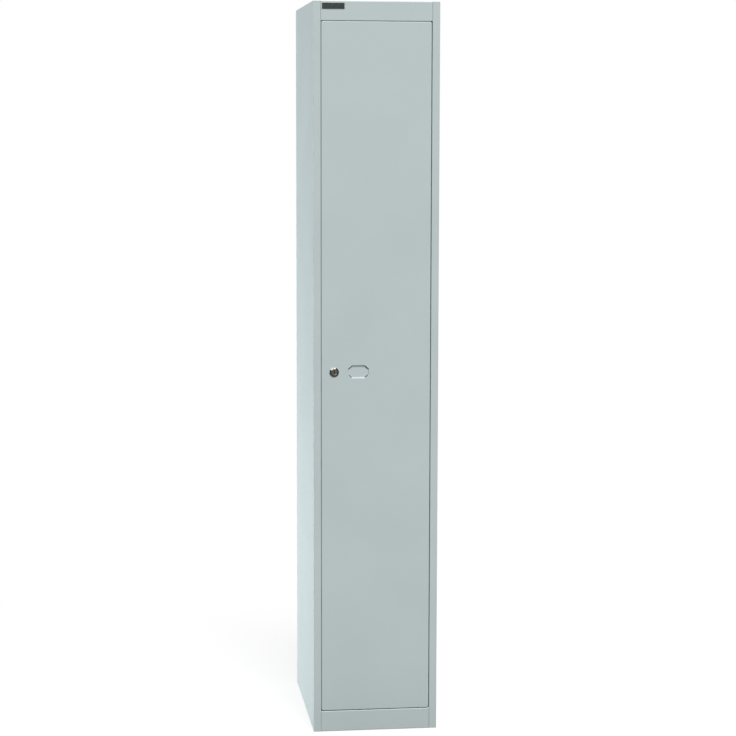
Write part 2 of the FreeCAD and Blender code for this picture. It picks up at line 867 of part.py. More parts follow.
def hinge_bracket(name, end, inward):
    """Channel in a hinge corner of the pan, its two ears bored for the pin.

    end is the inner face of the return that it sits on, and inward the sign towards mid door.
    """
    body = new_body(name)
    far = f"{end} + {inward} * bracket_height"
    path = [
        ("pan_right - bracket_ear", end),
        ("pan_right", end),
        ("pan_right", far),
        ("pan_right - bracket_ear", far),
    ]
    reach = ("bracket_start", "bracket_width")
    folded(body, "channel", "XZ_Plane", *reach, path, inward, "bracket_gauge", "bracket_bend")
    bore = disc("hinge_x", "hinge_y", "pin_radius + fit_clearance")
    pocket(body, "pin_holes", "XY_Plane", end, "bracket_height", [bore], toward=inward)
    return body


def upper_hinge_bracket():
    return hinge_bracket("upper_hinge_bracket", "pan_top", -1)


def lower_hinge_bracket():
    return hinge_bracket("lower_hinge_bracket", "pan_bottom", 1)


def hinge_pin(name, end, outward, gap):
    """Headed pivot pin, pushed outward through both ears, across the gap and into the bush."""
    seat = "-(door_gauge + bracket_height)"
    groove = f"{seat} + bracket_gauge"
    tip = f"{gap} + gauge + bush_reach + pin_reach"
    profile = [
        ("0", f"{seat} - pin_head_height"),
        ("pin_head_radius", f"{seat} - pin_head_height"),
        ("pin_head_radius", seat),
        ("pin_radius", seat),
        ("pin_radius", groove),
        ("pin_groove_radius", groove),
        ("pin_groove_radius", f"{groove} + clip_thickness + 2 * fit_clearance"),
        ("pin_radius", f"{groove} + clip_thickness + 2 * fit_clearance"),
        ("pin_radius", f"{tip} - pin_nose"),
        ("pin_radius - pin_nose", tip),
        ("0", tip),
    ]
    flipped = [(radius, f"{outward} * ({height})") for radius, height in profile]
    return turned(name, "XZ_Plane", flipped, ("hinge_x", "hinge_y", end))


def upper_hinge_pin():
    return hinge_pin("upper_hinge_pin", "door_top", 1, "head_gap")


def lower_hinge_pin():
    return hinge_pin("lower_hinge_pin", "door_bottom", -1, "door_gap")


def pin_clip(name, end, outward):
    """Open spring clip in a pin's groove, against the bracket's inner ear."""
    seat = "bracket_gauge - door_gauge - bracket_height + fit_clearance"
    profile = [
        ("pin_groove_radius + fit_clearance", seat),
        ("clip_radius", seat),
        ("clip_radius", f"{seat} + clip_thickness"),
        ("pin_groove_radius + fit_clearance", f"{seat} + clip_thickness"),
    ]
    flipped = [(radius, f"{outward} * ({height})") for radius, height in profile]
    body = turned(name, "XZ_Plane", flipped, ("hinge_x", "hinge_y", end))
    mouth = rectangle("-pin_groove_radius", "pin_groove_radius", "0", "clip_radius")
    pocket(body, "mouth", "XY_Plane", f"{outward} * ({seat})", "clip_thickness", [mouth], toward=outward)
    return body


def pin_clips():
    upper = pin_clip("upper_pin_clip", "door_top", 1)
    lower = pin_clip("lower_pin_clip", "door_bottom", -1)
    return group("pin_clips", [upper, lower])


def hinge_bush(name, ledge, outward):
    """Flanged bush in a rail's ledge, bored to run on the pin."""
    bore = "pin_radius + running_clearance"
    reach = "gauge + bush_reach"
    profile = [
        (bore, "-bush_flange"),
        ("bush_flange_radius", "-bush_flange"),
        ("bush_flange_radius", "0"),
        ("bush_radius", "0"),
        ("bush_radius", reach),
        (bore, reach),
    ]
    flipped = [(radius, f"{outward} * ({height})") for radius, height in profile]
    return turned(name, "XZ_Plane", flipped, ("hinge_x", "hinge_y", ledge))


def upper_hinge_bush():
    return hinge_bush("upper_hinge_bush", "rail_bottom", 1)


def lower_hinge_bush():
    return hinge_bush("lower_hinge_bush", "plinth_height", -1)


def lower_thrust_washer():
    """Washer on the lower bush that the door's weight runs on."""
    thickness = "door_gap - bush_flange - thrust_clearance"
    profile = [
        ("pin_radius + running_clearance", "0"),
        ("bush_flange_radius", "0"),
        ("bush_flange_radius", thickness),
        ("pin_radius + running_clearance", thickness),
    ]
    place = ("hinge_x", "hinge_y", "plinth_height + bush_flange")
    return turned("lower_thrust_washer", "XZ_Plane", profile, place)


# Cam lock, each piece about the lock's axis from the door's face backwards

LOCK_PLACE = ("lock_x", "front", "lock_height")


def lock_barrel():
    """Coned bezel with an index dimple, and flatted body, bored for the plug."""
    bore = "plug_radius + running_clearance"
    lip = f"{bore} + bezel_bevel"
    profile = [
        (bore, "bezel_bevel - bezel_proud"),
        (lip, "-bezel_proud"),
        (f"{lip} + bezel_flat", "-bezel_proud"),
        ("bezel_radius", "bezel_fall - bezel_proud"),
        ("bezel_radius", "0"),
        ("barrel_radius", "0"),
        ("barrel_radius", "barrel_length"),
        (bore, "barrel_length"),
    ]
    body = turned("lock_barrel", "XY_Plane", profile, LOCK_PLACE)
    inner = size(lip) + TOUCH

    def outside_lip(edge):
        return edge.BoundBox.XMax > inner

    rims = edges_in_plane(body, 1, "-bezel_proud", outside_lip)
    rims += edges_in_plane(body, 1, "bezel_fall - bezel_proud")
    round_off(body, "bezel_edges", rims, "bezel_round")
    dimple = disc("0", "dimple_reach", "dimple_radius")
    pocket(body, "index_dimple", "XZ_Plane", "-bezel_proud", "dimple_depth", [dimple])
    flats = []
    for hand in (-1, 1):
        near, wide = f"{hand} * barrel_flats / 2", f"{hand} * bezel_radius"
        flats.append(rectangle(near, wide, "-bezel_radius", "bezel_radius"))
    pocket(body, "flats", "XZ_Plane", "0", "barrel_length", flats)
    return body


def lock_plug():
    """Keyed core with a square drive for the cam and a threaded end."""
    face = "plug_recess - bezel_proud"
    profile = [("0", face), ("plug_radius", face), ("plug_radius", "barrel_length"), ("0", "barrel_length")]
    body = turned("lock_plug", "XY_Plane", profile, LOCK_PLACE)
    half = "drive_size / 2"
    square = rectangle(f"-{half}", half, f"-{half}", half)
    pad(body, "drive", "XZ_Plane", "barrel_length", "cam_end_gap + cam_thickness", [square])
    half_wide, half_high = "keyway_width / 2", "keyway_height / 2"
    keyway = rectangle(f"-{half_wide}", half_wide, f"-{half_high}", half_high)
    pocket(body, "keyway", "XZ_Plane", face, "keyway_depth", [keyway])
    thread = disc("0", "0", "bolt_radius + fit_clearance")
    pocket(body, "thread", "XZ_Plane", "cam_end", "bolt_length", [thread], toward=-1)
    return body


def lock_cam():
    """Flat cam that hangs from the drive and turns behind the stop lip."""
    body = new_body("lock_cam", LOCK_PLACE)
    half = "cam_width / 2"
    plate = rectangle(f"-{half}", half, "-cam_length", half)
    pad(body, "plate", "XZ_Plane", "cam_start", "cam_thickness", [plate])
    root = edges_along(body, 1, [(f"-{half}", half), (half, half)])
    round_off(body, "root", root, "cam_width / 2 - fit_clearance")
    tip = edges_along(body, 1, [(f"-{half}", "-cam_length"), (half, "-cam_length")])
    round_off(body, "tip", tip, "cam_tip")
    half_drive = "(drive_size / 2 + running_clearance)"
    square = rectangle(f"-{half_drive}", half_drive, f"-{half_drive}", half_drive)
    pocket(body, "drive_hole", "XZ_Plane", "cam_start", "cam_thickness", [square])
    return body


def cam_bolt():
    crown = "cam_end + bolt_head_height"
    profile = [
        ("0", "cam_end - bolt_length"),
        ("bolt_radius", "cam_end - bolt_length"),
        ("bolt_radius", "cam_end"),
        ("bolt_head_radius", "cam_end"),
        ("bolt_head_radius", f"{crown} - bolt_chamfer"),
        ("bolt_head_radius - bolt_chamfer", crown),
        ("0", crown),
    ]
    return turned("cam_bolt", "XY_Plane", profile, LOCK_PLACE)


def lock_reinforcing_plate():
    body = new_body("lock_reinforcing_plate", LOCK_PLACE)
    half_wide, half_high = "doubler_width / 2", "doubler_height / 2"
    plate = rectangle(f"-{half_wide}", half_wide, f"-{half_high}", half_high)
    pad(body, "plate", "XZ_Plane", "door_gauge", "doubler_gauge", [plate])
    pocket(body, "lock_hole", "XZ_Plane", "door_gauge", "doubler_gauge", [lock_hole("0", "0")])
    return body


def lock_washer():
    start = "door_gauge + doubler_gauge"
    profile = [
        ("barrel_radius + fit_clearance", start),
        ("lock_washer_radius", start),
        ("lock_washer_radius", f"{start} + lock_washer_gauge"),
        ("barrel_radius + fit_clearance", f"{start} + lock_washer_gauge"),
    ]
    return turned("lock_washer", "XY_Plane", profile, LOCK_PLACE)


def lock_nut():
    body = new_body("lock_nut", LOCK_PLACE)
    start = "door_gauge + doubler_gauge + lock_washer_gauge"
    corner, half = "nut_across / sqrt(3)", "nut_across / 2"
    hexagon = [
        (corner, "0"),
        (f"{corner} / 2", half),
        (f"-{corner} / 2", half),
        (f"-{corner}", "0"),
        (f"-{corner} / 2", f"-{half}"),
        (f"{corner} / 2", f"-{half}"),
    ]
    pad(body, "hexagon", "XZ_Plane", start, "nut_height", [polygon(hexagon)])
    thread = disc("0", "0", "barrel_radius + fit_clearance")
    pocket(body, "thread", "XZ_Plane", start, "nut_height", [thread])
    return body


# Small fittings


def door_buffers():
    """Rubber stops pushed through holes in the lock-side stop lip."""
    height = "stop_depth - door_depth - buffer_clearance"
    bulb_end = "gauge + buffer_bulb_length"
    profile = [
        ("0", f"-({height})"),
        ("buffer_crown_radius", f"-({height})"),
        ("buffer_radius", f"buffer_round - ({height})"),
        ("buffer_radius", "0"),
        ("buffer_stem", "0"),
        ("buffer_stem", "gauge"),
        ("buffer_bulb", "gauge"),
        ("buffer_stem", bulb_end),
        ("0", bulb_end),
    ]
    members = []
    for level in buffer_heights():
        place = ("buffer_inset - jamb", "stop_front", level)
        members.append(turned("door_buffer", "XY_Plane", profile, place))
    return group("door_buffers", members)


def badge_plate():
    """Blank plate at the left end of the top rail."""
    place = ("badge_inset - rail_half", "front", "overall_height - badge_drop")
    body = new_body("badge_plate", place)
    face = rectangle("0", "badge_width", "-badge_height", "0")
    pad(body, "plate", "XZ_Plane", "0", "badge_gauge", [face], toward=-1)
    corners = [(across, up) for across in ("0", "badge_width") for up in ("0", "-badge_height")]
    round_off(body, "corners", edges_along(body, 1, corners), "badge_corner")
    return body


SUBPARTS = [
    left_side_panel,
    right_side_panel,
    back_panel,
    top_panel,
    plinth,
    floor_panel,
    hat_shelf,
    left_coat_hook,
    right_coat_hook,
    double_coat_hook,
    hook_rivets,
    door_buffers,
    badge_plate,
    upper_hinge_bush,
    lower_hinge_bush,
    lower_thrust_washer,
    door_skin,
    door_stiffener,
    lock_reinforcing_plate,
    upper_hinge_bracket,
    lower_hinge_bracket,
    upper_hinge_pin,
    lower_hinge_pin,
    pin_clips,
    lock_barrel,
    lock_washer,
    lock_nut,
    lock_plug,
    lock_cam,
    cam_bolt,
]


def main():
    pieces = [make() for make in SUBPARTS]
    doc.recompute()
    for item in doc.Objects:
        if {"Invalid", "Error"} & set(item.State):
            raise RuntimeError(f"{item.Label} failed: {item.State}")
    for piece in pieces:
        if piece.Shape.isNull() or not piece.Shape.isValid():
            raise RuntimeError(f"{piece.Label} has no valid shape")
    os.makedirs("parts", exist_ok=True)
    for piece in pieces:
        piece.Shape.exportStep(f"parts/{piece.Label}.step")
        print(f"{piece.Label}: {len(piece.Shape.Solids)} solids, {piece.Shape.Volume:.1f} mm3")


main()
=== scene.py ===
"""Looks of the clothing locker: paint, plating, plastics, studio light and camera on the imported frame."""
import json
import math

import bpy
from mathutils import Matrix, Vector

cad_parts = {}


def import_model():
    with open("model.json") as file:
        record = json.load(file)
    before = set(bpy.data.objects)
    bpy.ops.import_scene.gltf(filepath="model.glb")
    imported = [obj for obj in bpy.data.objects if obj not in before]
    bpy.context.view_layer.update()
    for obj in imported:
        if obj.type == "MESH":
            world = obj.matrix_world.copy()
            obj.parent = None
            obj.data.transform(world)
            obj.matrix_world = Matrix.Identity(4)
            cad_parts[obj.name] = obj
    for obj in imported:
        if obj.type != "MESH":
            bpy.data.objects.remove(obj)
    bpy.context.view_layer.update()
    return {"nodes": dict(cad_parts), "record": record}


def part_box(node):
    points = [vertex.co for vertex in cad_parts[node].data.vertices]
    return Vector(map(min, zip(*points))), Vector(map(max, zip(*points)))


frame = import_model()

# Lengths are in metres, lamps in watts and angles in degrees.
# A NOISE is (features per metre, detail), a BUMP is (depth, strength) and a SPAN is (from, to).
MM = 0.001

# Linear colours of the finishes
PAINT_LIGHT = (0.532, 0.606, 0.612, 1.0)
PAINT_DARK = (0.500, 0.572, 0.580, 1.0)
PAINT_EDGE_HIGHLIGHT = (0.580, 0.650, 0.655, 1.0)
ZINC_LIGHT = (0.66, 0.66, 0.64, 1.0)
ZINC_DARK = (0.52, 0.52, 0.50, 1.0)
CHROME_LIGHT = (0.78, 0.78, 0.77, 1.0)
CHROME_DARK = (0.70, 0.70, 0.69, 1.0)
KEYWAY_SHADED_BRASS = (0.22, 0.15, 0.07, 1.0)
NYLON_LIGHT = (0.070, 0.070, 0.070, 1.0)
NYLON_DARK = (0.045, 0.045, 0.045, 1.0)
RUBBER_LIGHT = (0.055, 0.055, 0.055, 1.0)
RUBBER_DARK = (0.030, 0.030, 0.030, 1.0)
BADGE_LIGHT = (0.062, 0.076, 0.072, 1.0)
BADGE_DARK = (0.042, 0.052, 0.050, 1.0)

# Linear colours of the studio
WHITE = (1.0, 1.0, 1.0, 1.0)
FLOOR_PALE = (0.90, 0.90, 0.90, 1.0)
FLOOR_BOUNCE = (0.21, 0.21, 0.21, 1.0)
FLOOR_PAINTED_SHADOW = (0.05, 0.05, 0.05, 1.0)
DARK_ROOM = (0.055, 0.063, 0.055, 1.0)
DARK_FLOOR = (0.170, 0.150, 0.110, 1.0)
GREY_CARD = (0.300, 0.310, 0.310, 1.0)
OPENING = (1.5, 1.5, 1.5, 1.0)
OPENING_DIM = (0.62, 0.62, 0.58, 1.0)
PLAIN_LIGHT = (1.0, 1.0, 1.0)
DAYLIGHT = (0.96, 1.0, 1.01)
AMBIENT = 0.28
BACKDROP = 1.0

# The part of a noise's range that carries its contrast
NOISE_SPAN = (0.3, 0.7)

# Powder coat
DRIFT_NOISE, DRIFT_SHARE = (5.0, 3.0), 0.55
SPECKLE_NOISE, SPECKLE_SHARE = (1500.0, 2.0), 0.45
GLOSS_NOISE, GLOSS_SPAN = (60.0, 4.0), (0.25, 0.75)
WAVE_NOISE, WAVE_BUMP = (2.6, 1.0), (4.0 * MM, 0.12)
PEEL_NOISE, PEEL_BUMP = (420.0, 3.0), (0.06 * MM, 0.35)
PAINT_ROUGHNESS = (0.50, 0.60)
PAINT_SPECULAR = 0.35

# Lighter paint along sharp edges, a painted highlight and partly edge wear, found by the cosine between a
# face and its rounded normal
EDGE_RADIUS, EDGE_HIGHLIGHT_SHARE = 0.9 * MM, 0.35
EDGE_SAMPLES = 4
EDGE_COSINE_SPAN = (0.97, 0.80)

# Faint oval weld marks in a row near a wall's back edge
WELD_FIRST, WELD_PITCH = 110.0 * MM, 312.5 * MM
WELD_MIDDLE = 145.0 * MM
WELD_HALF_LENGTH, WELD_HALF_HEIGHT = 85.0 * MM, 4.0 * MM
WELD_SPAN = (1.0, 0.0)
WELD_BUMP = (0.4 * MM, 0.6)

# Zinc plate
CRYSTAL_SCALE, CRYSTAL_SHARE = 700.0, 0.08
ZINC_NOISE = (120.0, 4.0)
SCUFF_STRETCH, SCUFF_NOISE, SCUFF_BUMP = (900.0, 900.0, 90.0), (1.0, 3.0), (0.02 * MM, 0.4)
ZINC_ROUGHNESS = (0.36, 0.52)
ZINC_METALLIC = 0.75

# Chrome plate
CHROME_NOISE = (260.0, 3.0)
HAIR_STRETCH, HAIR_NOISE, HAIR_BUMP = (2500.0, 300.0, 400.0), (1.0, 2.0), (0.01 * MM, 0.3)
HAIR_SPAN = (0.35, 0.75)
CHROME_ROUGHNESS = (0.06, 0.16)
CHROME_METALLIC = 1.0

# The plug's keyway: its half width and half height, and how far behind the face the brass, darkened as
# painted shade, begins
KEYWAY_WIDTH_SPAN = (1.06 * MM, 1.02 * MM)
KEYWAY_HEIGHT_SPAN = (4.06 * MM, 4.02 * MM)
KEYWAY_FRONT, KEYWAY_BACK = 0.05 * MM, 0.4 * MM
KEYWAY_DULLNESS = 0.3

# Plastics: mean roughness and depth of the grain
CLOUD_NOISE, GRAIN_NOISE = (180.0, 4.0), (1800.0, 3.0)
GRAIN_STRENGTH = 0.5
ROUGHNESS_SPREAD = 0.07
NYLON_ROUGHNESS, NYLON_GRAIN = 0.5, 0.03 * MM
RUBBER_ROUGHNESS, RUBBER_GRAIN = 0.72, 0.08 * MM
BADGE_ROUGHNESS, BADGE_GRAIN = 0.3, 0.01 * MM

# Floor: it goes to white over FADE_SPAN, and bounces less light just in front of the locker, where its bounce
# colour is darker as painted shadow
FLOOR_HALF, FLOOR_DROP = 15.0, 0.6 * MM
FADE_SPAN, FADE_WHITE = (0.35, 1.6), (0.78, 1.0)
PAINTED_SHADOW_FAR_SPAN, PAINTED_SHADOW_NEAR_SPAN = (-0.55, -0.30), (-0.12, -0.24)

# Lamps: name, place, aim, width, height, power and colour
LAMPS = [
    ("key_above", (5.0, -23.0, 33.2), (0.0, 0.0, 0.9), 17.6, 17.6, 18400.0, PLAIN_LIGHT),
    ("left_low", (-1.9, 0.6, 0.2), (0.0, 0.0, 0.25), 1.4, 0.4, 20.3, DAYLIGHT),
    ("left_high", (-3.2, 0.9, 2.0), (0.0, 0.0, 1.0), 1.6, 1.6, 52.0, DAYLIGHT),
    ("right_back", (2.8, 3.4, 2.4), (0.0, 0.0, 0.9), 2.0, 2.0, 40.0, PLAIN_LIGHT),
]

# The room that the lock mirrors
ROOM_SIDE, ROOM_TOP = 7.0, 5.0
ROOM_FAR, ROOM_NEAR, ROOM_BACK = -11.0, -0.3, 5.0
WARM_HALF, WARM_NEAR, WARM_LIFT = 2.5, -4.2, 10.0 * MM

# Bright panes that the bezel mirrors: name, two angles from twelve o'clock to the left, and colour
PANES = [
    ("opening_left", 56.0, 39.0, OPENING),
    ("opening_right", 31.0, 12.0, OPENING),
    ("opening_dim", -4.0, -33.0, OPENING_DIM),
]

# A pane's two ends: distance from the lock's axis, and y
PANE_NEAR, PANE_FAR = (4.0, -0.6), (3.05, -3.2)

# Camera
SENSOR_MM, LENS_MM = 36.0, 101.011
CAMERA_PLACE = (-0.63259, -5.15737, 1.49224)
CAMERA_LEVEL, CAMERA_DIP, CAMERA_ROLL, CAMERA_PAN = 90.0, 6.782, -0.108, -7.075


class Graph:
    """The node tree of a material or the world, with short calls to add nodes and join them."""

    def __init__(self, owner, output="ShaderNodeOutputMaterial"):
        owner.use_nodes = True
        self.owner = owner
        self.tree = owner.node_tree
        self.tree.nodes.clear()
        self.output = self.add(output)

    def add(self, kind, **settings):
        node = self.tree.nodes.new(kind)
        for key, value in settings.items():
            setattr(node, key, value)
        return node

    def feed(self, socket, value):
        if isinstance(value, bpy.types.NodeSocket):
            self.tree.links.new(value, socket)
        else:
            socket.default_value = value

    def place(self):
        """Position on the object, in metres of the shared frame."""
        return self.add("ShaderNodeTexCoord").outputs["Object"]

    def parts(self, vector):
        node = self.add("ShaderNodeSeparateXYZ")
        self.feed(node.inputs[0], vector)
        return node.outputs[0], node.outputs[1], node.outputs[2]

    def stretch(self, vector, scale):
        node = self.add("ShaderNodeMapping")
        self.feed(node.inputs["Vector"], vector)
        self.feed(node.inputs["Scale"], scale)
        return node.outputs[0]

    def noise(self, vector, scale, detail):
        node = self.add("ShaderNodeTexNoise")
        self.feed(node.inputs["Vector"], vector)
        self.feed(node.inputs["Scale"], scale)
        self.feed(node.inputs["Detail"], detail)
        return node.outputs["Fac"]

    def cells(self, vector, scale):
        node = self.add("ShaderNodeTexVoronoi")
        self.feed(node.inputs["Vector"], vector)
        self.feed(node.inputs["Scale"], scale)
        return node.outputs["Color"]

    def math(self, operation, first, second=0.0):
        node = self.add("ShaderNodeMath", operation=operation)
        self.feed(node.inputs[0], first)
        self.feed(node.inputs[1], second)
        return node.outputs[0]

    def times(self, first, second):
        return self.math("MULTIPLY", first, second)

    def squares(self, first, second):
        """The sum of two squares."""
        return self.math("ADD", self.times(first, first), self.times(second, second))

    def band(self, value, span, onto=(0.0, 1.0)):
        """The value eased from one span onto another."""
        node = self.add("ShaderNodeMapRange", interpolation_type="SMOOTHSTEP")
        self.feed(node.inputs["Value"], value)
        for key, number in zip(("From Min", "From Max", "To Min", "To Max"), span + onto):
            self.feed(node.inputs[key], number)
        return node.outputs["Result"]

    def mix(self, factor, first, second):
        """A blend of two colours."""
        node = self.add("ShaderNodeMix", data_type="RGBA")
        self.feed(node.inputs["Factor"], factor)
        colours = [socket for socket in node.inputs if socket.type == "RGBA"]
        self.feed(colours[0], first)
        self.feed(colours[1], second)
        return next(socket for socket in node.outputs if socket.type == "RGBA")

    def bump(self, height, distance, strength, under=None):
        node = self.add("ShaderNodeBump")
        self.feed(node.inputs["Height"], height)
        self.feed(node.inputs["Distance"], distance)
        self.feed(node.inputs["Strength"], strength)
        if under is not None:
            self.feed(node.inputs["Normal"], under)
        return node.outputs["Normal"]

    def edges(self, radius):
        """One on sharp edges, nought on flat faces."""
        rounded = self.add("ShaderNodeBevel", samples=EDGE_SAMPLES)
        self.feed(rounded.inputs["Radius"], radius)
        flat = self.add("ShaderNodeNewGeometry").outputs["Normal"]
        cosine = self.add("ShaderNodeVectorMath", operation="DOT_PRODUCT")
        self.feed(cosine.inputs[0], rounded.outputs[0])
        self.feed(cosine.inputs[1], flat)
        return self.band(cosine.outputs["Value"], EDGE_COSINE_SPAN)

    def shader(self, kind, **inputs):
        node = self.add(kind)
        for key, value in inputs.items():
            self.feed(node.inputs[key.replace("_", " ")], value)
        return node.outputs[0]

    def blend(self, factor, first, second):
        """A blend of two shaders."""
        node = self.add("ShaderNodeMixShader")
        for socket, value in zip(node.inputs, (factor, first, second)):
            self.feed(socket, value)
        return node.outputs[0]

    def show(self, shader):
        self.feed(self.output.inputs["Surface"], shader)
        return self.owner

    def surface(self, **inputs):
        return self.show(self.shader("ShaderNodeBsdfPrincipled", **inputs))


def material_graph(name):
    return Graph(bpy.data.materials.new(name))


def middle(node):
    """A node's middle, seen from the front: x and z."""
    low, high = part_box(node)
    return (low[0] + high[0]) / 2, (low[2] + high[2]) / 2


def powder_coat(name, weld_marks=False):
    """Satin powder coat on sheet: orange peel, slow colour drift, a painted highlight along sharp edges and a
    slightly wavy panel.
    """
    g = material_graph(name)
    place = g.place()
    drift = g.times(g.noise(place, *DRIFT_NOISE), DRIFT_SHARE)
    speckle = g.times(g.noise(place, *SPECKLE_NOISE), SPECKLE_SHARE)
    tone = g.band(g.math("ADD", drift, speckle), NOISE_SPAN)
    colour = g.mix(tone, PAINT_DARK, PAINT_LIGHT)
    # painted highlight, partly wear: the paint turns lighter along sharp edges
    colour = g.mix(g.times(g.edges(EDGE_RADIUS), EDGE_HIGHLIGHT_SHARE), colour, PAINT_EDGE_HIGHLIGHT)
    roughness = g.band(g.noise(place, *GLOSS_NOISE), GLOSS_SPAN, PAINT_ROUGHNESS)
    normal = g.bump(g.noise(place, *WAVE_NOISE), *WAVE_BUMP)
    if weld_marks:
        normal = g.bump(spot_welds(g, place), *WELD_BUMP, normal)
    normal = g.bump(g.noise(place, *PEEL_NOISE), *PEEL_BUMP, normal)
    return g.surface(Base_Color=colour, Roughness=roughness, Specular_IOR_Level=PAINT_SPECULAR, Normal=normal)


def spot_welds(g, place):
    """Height of the weld marks: one at the middle of each oval, nought outside it."""
    _, depth, height = g.parts(place)
    turn = g.math("DIVIDE", g.math("SUBTRACT", height, WELD_FIRST), WELD_PITCH)
    off = g.math("SUBTRACT", turn, g.math("ROUND", turn))
    up = g.times(off, WELD_PITCH / WELD_HALF_HEIGHT)
    across = g.math("DIVIDE", g.math("SUBTRACT", depth, WELD_MIDDLE), WELD_HALF_LENGTH)
    return g.band(g.squares(up, across), WELD_SPAN)


def zinc():
    """Dull zinc plate with a faint crystal pattern and handling scuffs."""
    g = material_graph("zinc_plate")
    place = g.place()
    clouds = g.band(g.noise(place, *ZINC_NOISE), NOISE_SPAN)
    colour = g.mix(clouds, ZINC_DARK, ZINC_LIGHT)
    colour = g.mix(CRYSTAL_SHARE, colour, g.cells(place, CRYSTAL_SCALE))
    scuffs = g.noise(g.stretch(place, SCUFF_STRETCH), *SCUFF_NOISE)
    roughness = g.band(scuffs, NOISE_SPAN, ZINC_ROUGHNESS)
    normal = g.bump(scuffs, *SCUFF_BUMP)
    return g.surface(Base_Color=colour, Metallic=ZINC_METALLIC, Roughness=roughness, Normal=normal)


def chrome(name, keyway=False):
    """Polished plate with hairline scratches, and brass inside a keyway, darkened as painted shade."""
    g = material_graph(name)
    place = g.place()
    clouds = g.band(g.noise(place, *CHROME_NOISE), NOISE_SPAN)
    colour = g.mix(clouds, CHROME_DARK, CHROME_LIGHT)
    hairs = g.noise(g.stretch(place, HAIR_STRETCH), *HAIR_NOISE)
    roughness = g.band(hairs, HAIR_SPAN, CHROME_ROUGHNESS)
    if keyway:
        inside = keyway_mask(g, place)
        # brass darkened as painted shade inside the key slot, behind the plug's face
        colour = g.mix(inside, colour, KEYWAY_SHADED_BRASS)
        roughness = g.math("ADD", roughness, g.times(inside, KEYWAY_DULLNESS))
    normal = g.bump(hairs, *HAIR_BUMP)
    return g.surface(Base_Color=colour, Metallic=CHROME_METALLIC, Roughness=roughness, Normal=normal)


def keyway_mask(g, place):
    """One inside the plug's key slot, behind its face."""
    middle_x, middle_z = middle("lock_plug")
    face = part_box("lock_plug")[0][1]
    across, depth, height = g.parts(place)
    beside = g.math("ABSOLUTE", g.math("SUBTRACT", across, middle_x))
    above = g.math("ABSOLUTE", g.math("SUBTRACT", height, middle_z))
    within = g.times(g.band(beside, KEYWAY_WIDTH_SPAN), g.band(above, KEYWAY_HEIGHT_SPAN))
    return g.times(within, g.band(depth, (face + KEYWAY_FRONT, face + KEYWAY_BACK)))


def plastic(name, light, dark, rough, grain):
    """Moulded plastic or rubber with a fine grain."""
    g = material_graph(name)
    place = g.place()
    clouds = g.band(g.noise(place, *CLOUD_NOISE), NOISE_SPAN)
    fine = g.noise(place, *GRAIN_NOISE)
    roughness = g.band(fine, NOISE_SPAN, (rough - ROUGHNESS_SPREAD, rough + ROUGHNESS_SPREAD))
    normal = g.bump(fine, grain, GRAIN_STRENGTH)
    return g.surface(Base_Color=g.mix(clouds, dark, light), Roughness=roughness, Normal=normal)


def dress():
    """Give every CAD node its finish."""
    by_slot = {
        "grey_paint": powder_coat("powder_coat"),
        "zinc_steel": zinc(),
        "chrome": chrome("chrome_bezel"),
        "nylon": plastic("nylon", NYLON_LIGHT, NYLON_DARK, NYLON_ROUGHNESS, NYLON_GRAIN),
        "rubber": plastic("rubber", RUBBER_LIGHT, RUBBER_DARK, RUBBER_ROUGHNESS, RUBBER_GRAIN),
        "badge": plastic("badge_enamel", BADGE_LIGHT, BADGE_DARK, BADGE_ROUGHNESS, BADGE_GRAIN),
    }
    wall = powder_coat("powder_coat_wall", weld_marks=True)
    plug = chrome("chrome_plug", keyway=True)
    by_node = {"left_side_panel": wall, "right_side_panel": wall, "lock_plug": plug}
    for entry in frame["record"]["subparts"]:
        node = entry["node"]
        finish = by_node.get(node, by_slot[entry["material_slot"]])
        for slot in frame["nodes"][node].material_slots:
            slot.material = finish


def seen_directly(g):
    """One for rays that show the background itself: from the camera, in a mirror or through glass."""
    path = g.add("ShaderNodeLightPath")
    seen = g.math("MAXIMUM", path.outputs["Is Camera Ray"], path.outputs["Is Glossy Ray"])
    return g.math("MAXIMUM", seen, path.outputs["Is Transmission Ray"])


def studio_sheet(name, corners, material):
    """A flat sheet of the studio, which isn't part of the locker."""
    mesh = bpy.data.meshes.new(name)
    mesh.from_pydata(corners, [], [tuple(range(len(corners)))])
    mesh.materials.append(material)
    sheet = bpy.data.objects.new(name, mesh)
    bpy.context.scene.collection.objects.link(sheet)
    return sheet


def level_corners(half, first, last, height):
    return [(-half, first, height), (half, first, height), (half, last, height), (-half, last, height)]


def upright_corners(y):
    return [(-ROOM_SIDE, y, 0), (ROOM_SIDE, y, 0), (ROOM_SIDE, y, ROOM_TOP), (-ROOM_SIDE, y, ROOM_TOP)]


def floor():
    """Pale floor that goes to plain white away from the locker and keeps the shadow near it, with painted
    shadow in its bounce colour just in front of the locker.
    """
    g = material_graph("studio_floor")
    across, along, _ = g.parts(g.place())
    reach = g.math("SQRT", g.squares(across, along))
    pale = g.shader("ShaderNodeBsdfDiffuse", Color=FLOOR_PALE)
    glow = g.shader("ShaderNodeEmission", Color=WHITE)
    shown = g.blend(g.band(reach, FADE_SPAN, FADE_WHITE), pale, glow)
    # painted shadow: the bounce colour turns darker just in front of the locker, standing in for the locker's
    # shade on the floor
    painted_shadow = g.times(g.band(along, PAINTED_SHADOW_FAR_SPAN), g.band(along, PAINTED_SHADOW_NEAR_SPAN))
    bounce = g.shader("ShaderNodeBsdfDiffuse", Color=g.mix(painted_shadow, FLOOR_BOUNCE, FLOOR_PAINTED_SHADOW))
    material = g.show(g.blend(seen_directly(g), bounce, shown))
    studio_sheet("floor", level_corners(FLOOR_HALF, -FLOOR_HALF, FLOOR_HALF, -FLOOR_DROP), material)


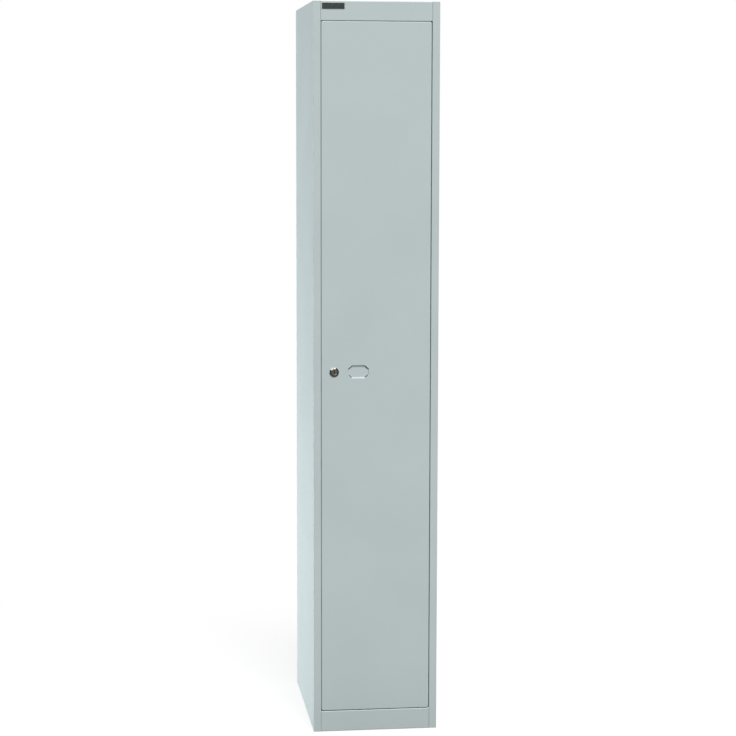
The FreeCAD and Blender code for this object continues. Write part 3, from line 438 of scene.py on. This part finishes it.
def world():
    """White where it is seen, and an even light on the locker."""
    g = Graph(bpy.data.worlds.new("studio"), "ShaderNodeOutputWorld")
    ambient = g.shader("ShaderNodeBackground", Color=WHITE, Strength=AMBIENT)
    backdrop = g.shader("ShaderNodeBackground", Color=WHITE, Strength=BACKDROP)
    bpy.context.scene.world = g.show(g.blend(seen_directly(g), ambient, backdrop))


def lamp(name, place, aim, width, height, watts, colour):
    """A rectangular lamp turned towards its aim and hidden from the camera."""
    data = bpy.data.lights.new(name, "AREA")
    data.shape = "RECTANGLE"
    data.size = width
    data.size_y = height
    data.energy = watts
    data.color = colour
    lamp_object = bpy.data.objects.new(name, data)
    across, along, up = (a - p for a, p in zip(aim, place))
    tilt = math.atan2(math.hypot(across, along), -up)
    lamp_object.location = place
    lamp_object.rotation_euler = (tilt, 0.0, math.atan2(-across, along))
    lamp_object.visible_camera = False
    bpy.context.scene.collection.objects.link(lamp_object)


def reflection_card(name, corners, colour):
    """A card that only mirrors see, as the room in front of the locker."""
    g = material_graph(name)
    material = g.show(g.shader("ShaderNodeEmission", Color=colour))
    card = studio_sheet(name, corners, material)
    card.visible_camera = False
    card.visible_diffuse = False
    card.visible_transmission = False
    card.visible_shadow = False


def pane_corners(first, last):
    """Corners of a card that the bezel mirrors between two angles from twelve o'clock to the left."""
    middle_x, middle_z = middle("lock_barrel")
    corners = []
    for angle, (reach, y) in ((first, PANE_NEAR), (first, PANE_FAR), (last, PANE_FAR), (last, PANE_NEAR)):
        turn = math.radians(angle)
        corners.append((middle_x - reach * math.sin(turn), y, middle_z + reach * math.cos(turn)))
    return corners


def dark_room():
    """The unlit room round the locker, with a warm floor and a bright opening, as the lock mirrors it."""
    reflection_card("dark_floor", level_corners(ROOM_SIDE, ROOM_FAR, ROOM_NEAR, 0), DARK_ROOM)
    reflection_card("warm_floor", level_corners(WARM_HALF, ROOM_FAR, WARM_NEAR, WARM_LIFT), DARK_FLOOR)
    reflection_card("dark_front", upright_corners(ROOM_FAR), DARK_ROOM)
    reflection_card("dark_ceiling", level_corners(ROOM_SIDE, ROOM_FAR, ROOM_NEAR, ROOM_TOP), DARK_ROOM)
    for name, x in (("dark_left", -ROOM_SIDE), ("dark_right", ROOM_SIDE)):
        foot = [(x, ROOM_FAR, 0), (x, ROOM_BACK, 0)]
        head = [(x, ROOM_BACK, ROOM_TOP), (x, ROOM_FAR, ROOM_TOP)]
        reflection_card(name, foot + head, DARK_ROOM)
    reflection_card("grey_back", upright_corners(ROOM_BACK), GREY_CARD)
    for name, first, last, colour in PANES:
        reflection_card(name, pane_corners(first, last), colour)


def camera():
    """At the photograph's place: fitted to the corners of the front and of the left side."""
    data = bpy.data.cameras.new("camera")
    data.sensor_width = SENSOR_MM
    data.lens = LENS_MM
    view = bpy.data.objects.new("camera", data)
    view.location = CAMERA_PLACE
    turns = (CAMERA_LEVEL - CAMERA_DIP, CAMERA_ROLL, CAMERA_PAN)
    view.rotation_euler = [math.radians(turn) for turn in turns]
    bpy.context.scene.collection.objects.link(view)
    bpy.context.scene.camera = view


dress()
floor()
world()
for entry in LAMPS:
    lamp(*entry)
dark_room()
camera()
bpy.context.scene.view_settings.view_transform = "Standard"
